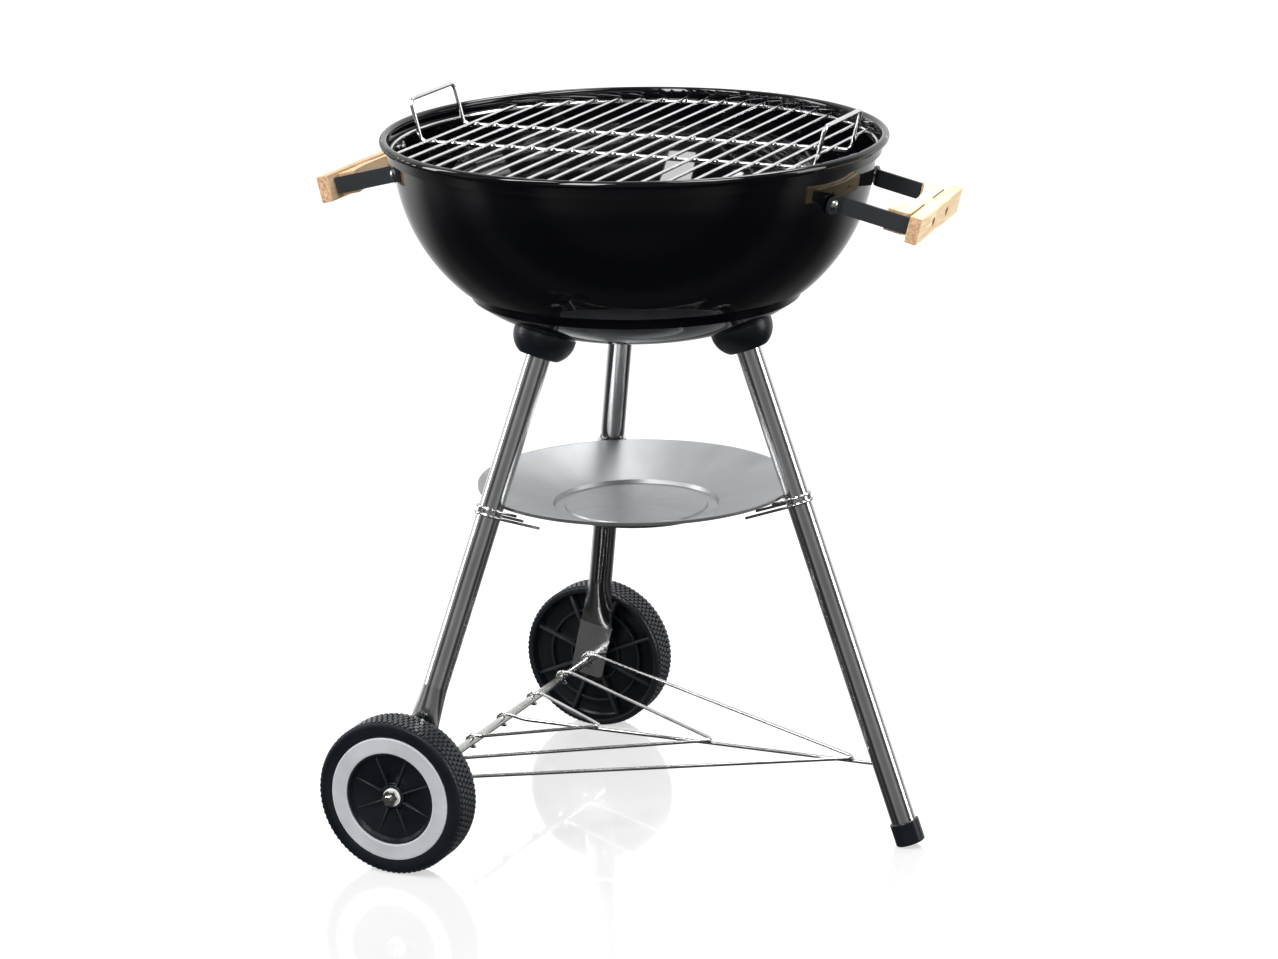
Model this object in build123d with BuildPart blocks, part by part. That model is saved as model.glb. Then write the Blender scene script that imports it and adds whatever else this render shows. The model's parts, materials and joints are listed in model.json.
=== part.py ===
from build123d import *
import os
from math import atan2, cos, hypot, radians, sin, sqrt

# Kettle charcoal grill: an open enamelled bowl on a three-legged trolley with two wheels.
# Frame: origin on the floor under the bowl's axis, +Z up, +X towards the leg with the foot,
# Y along the axle. The front wheel is on the -Y side. Millimetres.

os.makedirs("parts", exist_ok=True)

# ---------------------------------------------------------------- driving dimensions
gap = 0.3                     # clearance between neighbouring pieces that aren't fitted
fit = 0.05                    # radial clearance of pins, screws and axle in their holes
weld_gap = 0.05               # crossing wires stop this far apart

rim_height = 671.0            # centre of the rolled rim above the floor
rim_radius = 240.0            # outside of the rolled rim
bead_radius = 4.0
sheet = 1.2                   # enamelled steel of the bowl

tube_radius = 12.0
tube_wall = 1.2
socket_ring = 107.5           # legs meet the bowl's underside on this radius
socket_height = 494.0
foot_reach = 279.4            # where the foot leg's axis meets the floor

axle_x = -150.0
axle_height = 75.0
axle_radius = 4.0
wheel_radius = 75.0
wheel_inner = 217.5           # distance of a wheel's inner face from the middle
wheel_width = 35.5
paddle_y = 211.0              # middle plane of a wheel leg's flattened end
paddle_thick = 4.0
paddle_width = 35.0
knee_height = 113.0           # where a wheel leg is bent upright

rack_wire = 1.75              # radius of the rack's wires
vee_reach = {"inner": (71.0, -44.0), "middle": (143.5, 76.0), "outer": (206.0, 224.0)}

plate_rim_height = 335.0
plate_radius = 152.0
plate_shift = -3.2            # the ash plate sits this far from the bowl's axis
plate_sheet = 1.0
plate_depth = 23.6
clip_wire = 1.3

grid_wire = 2.0               # radius of the grid's ring and support loop
bar_wire = 1.6
grid_ring_radius = 229.0
grid_drop = 9.5               # grid ring below the rim
bar_count = 19
bar_pitch = 20.65

grate_ring_radius = 161.2
grate_drop = 137.2
grate_wire = 2.5
grate_bar_wire = 2.0
grate_bar_count = 15
grate_bar_pitch = 20.5

handle_drops = {"right": 40.0, "left": 37.0}    # middle of the straps' roots below the rim
handle_root = 213.0
handle_slope = 14.5           # degrees below level
handle_turns = {"right": 5.0, "left": 180.0}    # where each handle stands about the bowl's axis
strap_half_pitch = 64.0
strap_reach = 74.5
strap_thick = 3.0
strap_height = 16.0
board_thick = 12.0
board_height = 26.0
board_length = 150.0
block_height = 21.0
block_depth = 21.0
wood_screw_y = 24.0

screw_radius = 2.5            # M5 screws


def save(part, node):
    part.label = node
    export_step(part, f"parts/{node}.step")


def at_turn(radius, angle, height):
    """Point on a circle about the bowl's axis."""
    return (radius * cos(radians(angle)), radius * sin(radians(angle)), height)


def lathe_plane(frame):
    """Plane for a turned profile: local x is the radius, local y runs along the frame's z."""
    return Plane(origin=frame.origin, x_dir=frame.x_dir, z_dir=-frame.y_dir)


# ---------------------------------------------------------------- bowl outline
# Outer wall from the lip down: ledge for the grid, deep curved wall, waist step, shallow curved
# bottom and a raised round panel in the middle where the damper lies. (radius, below the rim)
lip_top = (233.8, -1.5)
ledge_outer = (233.3, -13.0)
ledge_inner = (227.6, -13.0)
wall_middle = (213.0, -78.0)
wall_bottom = (169.0, -138.0)
waist_inner = (158.5, -143.2)
waist_bottom = (157.0, -150.0)
base_middle = (126.0, -168.5)
base_edge = (62.0, -184.0)
panel_edge = (47.0, -186.0)
panel_rise = (45.0, -184.0)

# The inner wall from the panel up, a sheet's thickness inside the outer one.
inner_panel = (45.5, panel_rise[1] + sheet)
inner_panel_edge = (47.5, panel_edge[1] + sheet + 0.3)
inner_base_edge = (61.8, base_edge[1] + sheet)
inner_base_middle = (125.4, -167.45)
inner_waist_bottom = (waist_bottom[0] - sheet, -149.4)
inner_waist = (157.6, -142.5)
inner_wall_bottom = (168.0, -137.1)
inner_wall_middle = (211.9, -77.5)
inner_ledge = (ledge_inner[0] - sheet, ledge_inner[1] + sheet)
inner_ledge_outer = (ledge_outer[0] - sheet, ledge_outer[1] + sheet)
inner_lip = (lip_top[0] - sheet, lip_top[1])

# The profile stands between two legs, so the turned surfaces' seam is clear of every hole.
rim_profile = Plane(origin=(0, 0, rim_height), x_dir=at_turn(1, 60, 0), z_dir=at_turn(1, -30, 0))
panel_z = rim_height + panel_rise[1]

with BuildLine() as wall_line:
    Polyline(lip_top, ledge_outer, ledge_inner)
    ThreePointArc(ledge_inner, wall_middle, wall_bottom)
    Polyline(wall_bottom, waist_inner, waist_bottom)
    ThreePointArc(waist_bottom, base_middle, base_edge)
    Polyline(base_edge, panel_edge, panel_rise, (0, panel_rise[1]))

# ---------------------------------------------------------------- leg frames
# z runs down a leg from the bowl's underside, x lies across it near world X.
leg_turns = {"foot": 0, "front": -120, "rear": 120}
leg_tops = {name: at_turn(socket_ring, turn, socket_height) for name, turn in leg_turns.items()}
paddle_slant = 0.223          # a flat end's run towards the foot leg per height above the axle
knee_x = axle_x + (knee_height - axle_height) * paddle_slant
leg_ends = {
    "foot": (foot_reach, 0, 0),
    "front": (knee_x, -paddle_y, knee_height),
    "rear": (knee_x, paddle_y, knee_height),
}
leg_frames = {}
leg_length = {}
for name in leg_turns:
    down = Vector(*leg_ends[name]) - Vector(*leg_tops[name])
    leg_length[name] = down.length
    leg_frames[name] = Plane(origin=leg_tops[name], x_dir=(1, 0, 0), z_dir=down.normalized())

# ---------------------------------------------------------------- handle frames
# x out along the straps, y across, z square to both; the origin is a strap's root.
slope = radians(handle_slope)
handle_frames = {}
for name, turn in handle_turns.items():
    handle_frames[name] = Plane(
        origin=at_turn(handle_root, turn, rim_height - handle_drops[name]),
        x_dir=at_turn(cos(slope), turn, -sin(slope)),
        z_dir=at_turn(sin(slope), turn, cos(slope)),
    )

# Plan of a strap in its handle's frame: ear on the bowl, strap, tab between the wood pieces.
ear_end = (-0.54, 82.0)
ear_corner = (6.5, strap_half_pitch)
tab_x = strap_reach - strap_thick / 2
tab_end_y = 14.0
bend_radius = 4.0
ear_round = 6.5               # the ear's free corners
ear_hole_y = 74.0
ear_run = (ear_end[0] - ear_corner[0]) / (ear_end[1] - ear_corner[1])
ear_hole_x = ear_corner[0] + ear_run * (ear_hole_y - ear_corner[1])
ear_angle = atan2(-ear_run, 1)

ear_frames = []
for frame in handle_frames.values():
    for hand in (1, -1):
        normal = frame.x_dir * cos(ear_angle) + frame.y_dir * (hand * sin(ear_angle))
        origin = frame.from_local_coords(Vector(ear_hole_x, hand * ear_hole_y, 0))
        ear_frames.append(Plane(origin=origin, x_dir=frame.z_dir, z_dir=normal))

# ---------------------------------------------------------------- bowl
vent_ring = 26.0
vent_radius = 10.0
rivet_radius = 2.5
hole_reach = 14.0             # screw holes are cut this far to both sides of their seat
panel_cut = 5.0               # vents are cut this far to both sides of the panel

with BuildPart() as bowl:
    with BuildSketch(rim_profile):
        with BuildLine():
            add(wall_line.line)
            Polyline((0, panel_rise[1]), (0, inner_panel[1]), inner_panel, inner_panel_edge, inner_base_edge)
            ThreePointArc(inner_base_edge, inner_base_middle, inner_waist_bottom)
            Polyline(inner_waist_bottom, inner_waist, inner_wall_bottom)
            ThreePointArc(inner_wall_bottom, inner_wall_middle, inner_ledge)
            Polyline(inner_ledge, inner_ledge_outer, inner_lip, lip_top)
        make_face()
    revolve(axis=Axis.Z)
    with BuildSketch(rim_profile):
        with Locations((rim_radius - bead_radius, 0)):
            Circle(bead_radius)
    revolve(axis=Axis.Z)
    with BuildSketch(Plane.XY.offset(panel_z)):
        with PolarLocations(vent_ring, 3):
            Circle(vent_radius)
        Circle(rivet_radius + fit)
    extrude(amount=panel_cut, both=True, mode=Mode.SUBTRACT)
    for frame in list(leg_frames.values()) + ear_frames:
        with BuildSketch(frame):
            Circle(screw_radius + gap)
        extrude(amount=hole_reach, both=True, mode=Mode.SUBTRACT)
save(bowl.part, "bowl")

# ---------------------------------------------------------------- damper under the bowl
damper_radius = 42.0
damper_sheet = 0.8
damper_top = panel_z - gap
lug_turn = 110.0              # the lug stands on the side away from the front wheel
lug_width = 14.0
lug_drop = 9.0

with BuildPart() as damper_disc:
    with BuildSketch(Plane.XY.offset(damper_top)):
        Circle(damper_radius)
        with PolarLocations(vent_ring, 3):
            Circle(vent_radius, mode=Mode.SUBTRACT)
        Circle(rivet_radius + fit, mode=Mode.SUBTRACT)
    extrude(amount=-damper_sheet)
    lug_plane = Plane(
        origin=at_turn(damper_radius - 2.0, lug_turn, damper_top - damper_sheet),
        x_dir=at_turn(1, lug_turn + 90, 0),
        z_dir=(0, 0, -1),
    )
    with BuildSketch(lug_plane):
        Rectangle(lug_width, damper_sheet)
    extrude(amount=lug_drop)
save(damper_disc.part, "damper_disc")

rivet_head = 6.0
rivet_under = damper_top - damper_sheet - 0.1
rivet_over = panel_z + sheet + 0.1

with BuildPart() as damper_rivet:
    with BuildSketch(Plane.XZ):
        with BuildLine():
            Polyline(
                (0, rivet_under - 2.4),
                (3.6, rivet_under - 2.0),
                (rivet_head, rivet_under),
                (rivet_radius, rivet_under),
                (rivet_radius, rivet_over),
                (rivet_head, rivet_over),
                (3.6, rivet_over + 2.0),
                (0, rivet_over + 2.4),
                close=True,
            )
        make_face()
    revolve(axis=Axis.Z)
save(damper_rivet.part, "damper_rivet")

# ---------------------------------------------------------------- leg sockets
socket_top_radius = 30.0
socket_low_radius = 18.5
socket_side = (27.4, 10.8)    # radius and depth halfway down the cup
socket_top = -3.2             # the cup's rim, which stands a little off the curved bowl
socket_lip = 1.0
socket_depth = 20.5
socket_roof = 5.0             # plastic between the bowl and the tube's end

with BuildPart() as bowl_space:
    with BuildSketch(rim_profile):
        with BuildLine():
            add(wall_line.line)
            Polyline((0, panel_rise[1]), (0, 0), (lip_top[0], 0), lip_top)
        make_face()
    revolve(axis=Axis.Z)
space_below = bowl_space.part.moved(Location((0, 0, -gap)))

for name, frame in leg_frames.items():
    with BuildPart() as socket:
        with BuildSketch(lathe_plane(frame)):
            with BuildLine():
                low = (socket_low_radius, socket_depth)
                high = (socket_top_radius, socket_lip)
                Polyline((0, socket_top), (0, socket_depth), low)
                ThreePointArc(low, socket_side, high)
                Polyline(high, (socket_top_radius, socket_top), (0, socket_top))
            make_face()
        revolve(axis=Axis(frame.origin, frame.z_dir))
        with BuildSketch(frame.offset(socket_roof)):
            Circle(tube_radius + fit)
        extrude(amount=socket_depth, mode=Mode.SUBTRACT)
        with BuildSketch(frame):
            Circle(screw_radius + gap)
        extrude(amount=hole_reach, both=True, mode=Mode.SUBTRACT)
        add(space_below, mode=Mode.SUBTRACT)
    save(socket.part, f"leg_socket_{name}")

# ---------------------------------------------------------------- screws through bowl and sockets
plug_radius = tube_radius - tube_wall - fit
plug_top = socket_roof + 2.0
plug_length = 16.0
washer_lift = 3.4             # the washers lie inside the bowl, this far up the leg's axis
washer_thick = 1.2
socket_head = 3.2

with BuildPart() as leg_plugs:
    for frame in leg_frames.values():
        with BuildSketch(frame.offset(plug_top)):
            Circle(plug_radius)
            Circle(screw_radius + fit, mode=Mode.SUBTRACT)
        extrude(amount=plug_length)
save(leg_plugs.part, "leg_plugs")

with BuildPart() as socket_washers:
    for frame in leg_frames.values():
        with BuildSketch(frame.offset(-washer_lift)):
            Circle(6.5)
            Circle(screw_radius + fit, mode=Mode.SUBTRACT)
        extrude(amount=-washer_thick)
save(socket_washers.part, "socket_washers")

with BuildPart() as socket_screws:
    for frame in leg_frames.values():
        seat = frame.offset(-washer_lift - washer_thick - fit)
        with BuildSketch(seat):
            Circle(screw_radius)
        extrude(amount=washer_lift + plug_top + plug_length - 4.0)
        with BuildSketch(seat):
            Circle(4.8)
        extrude(amount=-socket_head, taper=18)
save(socket_screws.part, "socket_screws")

# ---------------------------------------------------------------- legs
tube_top = socket_roof + gap
flare_length = 62.0           # where the round tube goes over into the flat end
foot_cap_radius = 14.2
foot_cap_length = 22.0
cap_floor = 3.0
foot_flat = 2.2               # how deep the cap is worn flat on the floor
foot_tilt = atan2(foot_reach - socket_ring, socket_height)
foot_end = leg_length["foot"] + (foot_flat - foot_cap_radius * sin(foot_tilt)) / cos(foot_tilt)

spine_z = axle_height + axle_radius - rack_wire + 0.1
spine_hole_start = 200.0      # the spine's hole goes through the near wall of the foot leg only
spine_hole_end = 252.0
vee_z = spine_z + 2 * rack_wire + weld_gap
foot_frame = leg_frames["foot"]

with BuildPart() as leg_foot:
    with BuildSketch(foot_frame.offset(tube_top)):
        Circle(tube_radius)
        Circle(tube_radius - tube_wall, mode=Mode.SUBTRACT)
    extrude(amount=foot_end - cap_floor - fit - tube_top)
    with BuildSketch(Plane.YZ.offset(spine_hole_start)):
        with Locations((0, spine_z)):
            Circle(rack_wire + fit)
    extrude(amount=spine_hole_end - spine_hole_start, mode=Mode.SUBTRACT)
save(leg_foot.part, "leg_foot")

with BuildPart() as foot_cap:
    with BuildSketch(foot_frame.offset(foot_end - foot_cap_length)):
        Circle(foot_cap_radius)
    extrude(amount=foot_cap_length)
    fillet(foot_cap.edges().filter_by(GeomType.CIRCLE).sort_by(Axis.Z)[0], 1.5)
    fillet(foot_cap.edges().filter_by(GeomType.CIRCLE).sort_by(Axis.Z)[-1], 0.8)
    with BuildSketch(foot_frame.offset(foot_end - cap_floor)):
        Circle(tube_radius + fit)
    extrude(amount=-foot_cap_length, mode=Mode.SUBTRACT)
    split(bisect_by=Plane.XY, keep=Keep.TOP)
save(foot_cap.part, "foot_cap")

paddle_lean = atan2(knee_x - axle_x, knee_height - axle_height)
paddle_drop = hypot(knee_x - axle_x, knee_height - axle_height)
paddle_half = paddle_width / 2
paddle_foot = 17.0            # how far the flat end reaches below the axle
paddle_corner = 6.0

for name, side in (("front", -1), ("rear", 1)):
    frame = leg_frames[name]
    straight = leg_length[name] - flare_length
    knee = Plane(
        origin=leg_ends[name],
        x_dir=(cos(paddle_lean), 0, -sin(paddle_lean)),
        z_dir=(-sin(paddle_lean), 0, -cos(paddle_lean)),
    )
    paddle = Plane(origin=(axle_x, side * paddle_y, axle_height), x_dir=knee.x_dir, z_dir=(0, -1, 0))
    with BuildPart() as leg:
        with BuildSketch(frame.offset(straight)):
            Circle(tube_radius)
        with BuildSketch(knee):
            SlotOverall(paddle_width, paddle_thick)
        loft()
        with BuildSketch(frame.offset(tube_top)):
            Circle(tube_radius)
            Circle(tube_radius - tube_wall, mode=Mode.SUBTRACT)
        extrude(amount=straight - tube_top)
        with BuildSketch(paddle):
            with BuildLine():
                FilletPolyline(
                    (paddle_half, paddle_drop),
                    (paddle_half, -paddle_foot),
                    (-paddle_half, -paddle_foot),
                    (-paddle_half, paddle_drop),
                    radius=paddle_corner,
                )
                Line((-paddle_half, paddle_drop), (paddle_half, paddle_drop))
            make_face()
            Circle(axle_radius + fit, mode=Mode.SUBTRACT)
        extrude(amount=paddle_thick / 2, both=True)
    save(leg.part, f"leg_{name}")

# ---------------------------------------------------------------- axle, washers and nuts
hub_start = wheel_inner - 3.0
hub_end = wheel_inner + 29.0
side_play = 0.1
inner_washer_start = paddle_y + paddle_thick / 2 + fit
inner_washer_thick = hub_start - side_play - inner_washer_start
outer_washer_thick = 1.6
nut_start = hub_end + side_play + outer_washer_thick + fit
nut_thick = 6.2
nut_flats = 13.0
axle_half = nut_start + nut_thick + 2.5

axle_frames = {}
for name, side in (("front", -1), ("rear", 1)):
    axle_frames[name] = Plane(origin=(axle_x, 0, axle_height), x_dir=(1, 0, 0), z_dir=(0, side, 0))

with BuildPart() as axle:
    with BuildSketch(axle_frames["rear"]):
        Circle(axle_radius)
    extrude(amount=axle_half, both=True)
    chamfer(axle.edges().filter_by(GeomType.CIRCLE), 0.8)
save(axle.part, "axle")

with BuildPart() as axle_inner_washers:
    for frame in axle_frames.values():
        with BuildSketch(frame.offset(inner_washer_start)):
            Circle(9.0)
            Circle(axle_radius + fit, mode=Mode.SUBTRACT)
        extrude(amount=inner_washer_thick)
save(axle_inner_washers.part, "axle_inner_washers")

with BuildPart() as axle_outer_washers:
    for frame in axle_frames.values():
        with BuildSketch(frame.offset(hub_end + side_play)):
            Circle(8.6)
            Circle(axle_radius + fit, mode=Mode.SUBTRACT)
        extrude(amount=outer_washer_thick)
save(axle_outer_washers.part, "axle_outer_washers")

with BuildPart() as axle_nuts:
    for frame in axle_frames.values():
        with BuildSketch(frame.offset(nut_start)):
            RegularPolygon(nut_flats / 2, 6, major_radius=False)
            Circle(axle_radius + fit, mode=Mode.SUBTRACT)
        extrude(amount=nut_thick)
save(axle_nuts.part, "axle_nuts")

# ---------------------------------------------------------------- wheels
bore = axle_radius + fit
ring_inner = 45.0
ring_outer = 60.0
ring_floor = 32.0             # depth of the light ring's groove from the wheel's inner face
rib_count = 8
rib_thick = 3.5
rib_start = 3.0
rib_length = 12.0
ring_rib = 48.0
fin_thick = 1.8
fin_start = 23.0
fin_length = 7.5

for name, frame in axle_frames.items():
    face = frame.offset(wheel_inner)
    profile = lathe_plane(face)
    axis = Axis(face.origin, face.z_dir)
    with BuildPart() as wheel:
        with BuildSketch(profile):
            with BuildLine():
                # radius, distance outward from the inner face
                Polyline(
                    (bore, -3.0),
                    (11.0, -3.0),
                    (12.0, 9.0),
                    (30.0, 11.0),
                    (58.0, 12.5),
                    (66.0, 10.5),
                    (68.0, 1.5),
                    (71.0, 0.0),
                    (73.0, 0.0),
                    (wheel_radius, 2.5),
                    (wheel_radius, 32.5),
                    (72.0, wheel_width),
                    (ring_outer + fit, wheel_width),
                    (ring_outer + fit, ring_floor),
                    (ring_inner - fit, ring_floor),
                    (ring_inner - fit, 34.5),
                    (42.5, 34.5),
                    (40.5, 30.5),
                    (12.5, 25.0),
                    (11.0, 29.0),
                    (bore, 29.0),
                    close=True,
                )
            make_face()
        revolve(axis=axis)
        with BuildSketch(face.offset(rib_start)):
            with PolarLocations(39.0, rib_count):
                Rectangle(58.0, rib_thick)
            Circle(bore, mode=Mode.SUBTRACT)
        extrude(amount=rib_length)
        with BuildSketch(face.offset(rib_start + 4)):
            Circle(ring_rib)
            Circle(ring_rib - 3, mode=Mode.SUBTRACT)
        extrude(amount=rib_length - 4)
        with BuildSketch(face.offset(fin_start)):
            with PolarLocations(26.0, rib_count):
                Rectangle(30.0, fin_thick)
        extrude(amount=fin_length)
    save(wheel.part, f"wheel_{name}")
    with BuildPart() as wheel_ring:
        with BuildSketch(profile):
            with BuildLine():
                Polyline(
                    (ring_inner + fit, ring_floor + fit),
                    (ring_outer - fit, ring_floor + fit),
                    (ring_outer - fit, wheel_width + 0.2),
                    (ring_outer - 1.5, wheel_width + 0.8),
                    (ring_inner + 1.5, wheel_width + 0.8),
                    (ring_inner + fit, wheel_width + 0.2),
                    close=True,
                )
            make_face()
        revolve(axis=axis)
    save(wheel_ring.part, f"wheel_ring_{name}")

# ---------------------------------------------------------------- bottom rack of wire
hook_radius = vee_z - axle_height
hook_turn = 210.0
hook_lead = 9.0
vee_bend = 6.0

for name, (hook_y, tip_x) in vee_reach.items():
    with BuildPart() as vee:
        with BuildLine(Plane.XY.offset(vee_z)) as path:
            FilletPolyline(
                (axle_x, hook_y),
                (axle_x + hook_lead, hook_y),
                (tip_x, 0),
                (axle_x + hook_lead, -hook_y),
                (axle_x, -hook_y),
                radius=vee_bend,
            )
        with BuildSketch(Plane(origin=(axle_x, hook_y, vee_z), x_dir=(0, 1, 0), z_dir=(1, 0, 0))):
            Circle(rack_wire)
        sweep(path=path.wires()[0])
        for side in (1, -1):
            with BuildSketch(Plane(origin=(axle_x, side * hook_y, vee_z), x_dir=(0, 1, 0), z_dir=(-1, 0, 0))):
                Circle(rack_wire)
            revolve(axis=Axis((axle_x, 0, axle_height), (0, -1, 0)), revolution_arc=hook_turn)
    save(vee.part, f"rack_vee_{name}")

spine_hook = axle_radius + rack_wire + 0.15
spine_rise_x = axle_x + 28.0
spine_end_x = foot_reach - (foot_reach - socket_ring) * spine_z / socket_height - 4.0

with BuildPart() as rack_spine:
    with BuildLine(Plane.XZ) as path:
        crest = (axle_x, axle_height + spine_hook)
        Spline(crest, (spine_rise_x, spine_z), tangents=[(1, 0), (1, 0)])
        Line((spine_rise_x, spine_z), (spine_end_x, spine_z))
    with BuildSketch(Plane(origin=(axle_x, 0, axle_height + spine_hook), x_dir=(0, 1, 0), z_dir=(1, 0, 0))):
        Circle(rack_wire)
    sweep(path=path.wires()[0])
    with BuildSketch(Plane(origin=(axle_x, 0, axle_height + spine_hook), x_dir=(0, 1, 0), z_dir=(-1, 0, 0))):
        Circle(rack_wire)
    revolve(axis=Axis((axle_x, 0, axle_height), (0, -1, 0)), revolution_arc=hook_turn)
save(rack_spine.part, "rack_spine")

# ---------------------------------------------------------------- ash plate and its clips
plate_slope_end = 80.0
plate_groove = 78.0
plate_centre = 68.0
plate_edge_drop = 3.0
plate_profile = Plane(origin=(plate_shift, 0, plate_rim_height), x_dir=(1, 0, 0), z_dir=(0, -1, 0))

with BuildPart() as ash_plate:
    with BuildSketch(plate_profile):
        with BuildLine():
            Polyline(
                (plate_radius, -plate_edge_drop),
                (plate_radius, 0),
                (plate_radius - 2.5, 0),
                (plate_slope_end, -plate_depth + 2.0),
                (plate_groove, -plate_depth - 1.5),
                (plate_centre + 1, -plate_depth - 1.5),
                (plate_centre, -plate_depth),
                (0, -plate_depth),
            )
            offset(amount=plate_sheet, side=Side.LEFT, kind=Kind.INTERSECTION)
        make_face()
    revolve(axis=Axis((plate_shift, 0, 0), (0, 0, 1)))
save(ash_plate.part, "ash_plate")

clip_radius = tube_radius + clip_wire + fit
clip_reach = 52.0
hook_reach = 21.0
clip_half_gap = 3.1

for name, turn in leg_turns.items():
    frame = leg_frames[name]
    down = frame.z_dir
    start = (plate_rim_height - 3.0 - frame.origin.Z) / down.Z
    centre = frame.origin + down * start
    inward = Vector(*at_turn(-1, turn, 0))
    inward = (inward - down * inward.dot(down)).normalized()
    flat = Plane(origin=centre, x_dir=inward, z_dir=down)
    with BuildPart() as clip:
        for shift, reach in ((clip_half_gap, clip_reach), (-clip_half_gap, hook_reach)):
            turn_plane = flat.offset(shift)
            with BuildLine(turn_plane) as path:
                Line((reach, -clip_radius), (0, -clip_radius))
                ThreePointArc((0, -clip_radius), (-clip_radius, 0), (0, clip_radius))
                Line((0, clip_radius), (reach, clip_radius))
            begin = turn_plane.from_local_coords(Vector(reach, -clip_radius, 0))
            with BuildSketch(Plane(origin=begin, x_dir=flat.y_dir, z_dir=-flat.x_dir)):
                Circle(clip_wire)
            sweep(path=path.wires()[0])
        link = flat.from_local_coords(Vector(-clip_radius, 0, 0))
        with BuildSketch(Plane(origin=link, x_dir=flat.x_dir, z_dir=flat.z_dir)):
            Circle(clip_wire * 0.9)
        extrude(amount=clip_half_gap, both=True)
    save(clip.part, f"plate_clip_{name}")

# ---------------------------------------------------------------- cooking grid
grid_z = rim_height - grid_drop
bar_z = grid_z + grid_wire + bar_wire + weld_gap
bar_overhang = 2.0
loop_half_width = 47.0
loop_half_length = 200.0
loop_lean = 10.5
loop_rise = 39.5
loop_bend = 7.0

with BuildPart() as grid_ring:
    with BuildSketch(Plane.XZ):
        with Locations((grid_ring_radius, grid_z)):
            Circle(grid_wire)
    revolve(axis=Axis.Z)
save(grid_ring.part, "grid_ring")

with BuildPart() as grid_bars:
    for i in range(bar_count):
        x = (i - (bar_count - 1) / 2) * bar_pitch
        half = sqrt(grid_ring_radius**2 - x**2) + bar_overhang
        with BuildSketch(Plane(origin=(x, 0, bar_z), x_dir=(1, 0, 0), z_dir=(0, 1, 0))):
            Circle(bar_wire)
        extrude(amount=half, both=True)
save(grid_bars.part, "grid_bars")

loop_top_x = loop_half_length + loop_lean
loop_top_z = grid_z + loop_rise

with BuildPart() as grid_loop:
    with BuildLine() as path:
        FilletPolyline(
            (0, -loop_half_width, grid_z),
            (loop_half_length, -loop_half_width, grid_z),
            (loop_top_x, -loop_half_width, loop_top_z),
            (loop_top_x, loop_half_width, loop_top_z),
            (loop_half_length, loop_half_width, grid_z),
            (0, loop_half_width, grid_z),
            radius=loop_bend,
        )
    with BuildSketch(Plane(origin=(0, -loop_half_width, grid_z), x_dir=(0, 1, 0), z_dir=(1, 0, 0))):
        Circle(grid_wire)
    sweep(path=path.wires()[0])
    mirror(about=Plane.YZ)
save(grid_loop.part, "grid_loop")

# ---------------------------------------------------------------- charcoal grate
grate_z = rim_height - grate_drop
grate_bar_z = grate_z + grate_wire + grate_bar_wire + weld_gap
grate_rod_y = 60.0
grate_rod_half = sqrt((grate_ring_radius - grate_wire - gap) ** 2 - grate_rod_y**2)

with BuildPart() as grate_ring:
    with BuildSketch(Plane.XZ):
        with Locations((grate_ring_radius, grate_z)):
            Circle(grate_wire)
    revolve(axis=Axis.Z)
save(grate_ring.part, "grate_ring")

with BuildPart() as grate_rods:
    for side in (-1, 1):
        with BuildSketch(Plane(origin=(0, side * grate_rod_y, grate_z), x_dir=(0, 1, 0), z_dir=(1, 0, 0))):
            Circle(grate_wire)
        extrude(amount=grate_rod_half - 2, both=True)
save(grate_rods.part, "grate_rods")

with BuildPart() as grate_bars:
    for i in range(grate_bar_count):
        x = (i - (grate_bar_count - 1) / 2) * grate_bar_pitch
        half = sqrt(grate_ring_radius**2 - x**2)
        with BuildSketch(Plane(origin=(x, 0, grate_bar_z), x_dir=(1, 0, 0), z_dir=(0, 1, 0))):
            Circle(grate_bar_wire)
        extrude(amount=half, both=True)
save(grate_bars.part, "grate_bars")

# ---------------------------------------------------------------- carry handles
wood_x = strap_reach + fit
block_end = tab_x - strap_thick / 2 - fit
block_start = block_end - block_depth
block_half = strap_half_pitch - strap_thick / 2 - gap
scallop = 11.0
wood_screw_radius = 2.0
countersink = 4.2
sink_depth = 3.2

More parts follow.
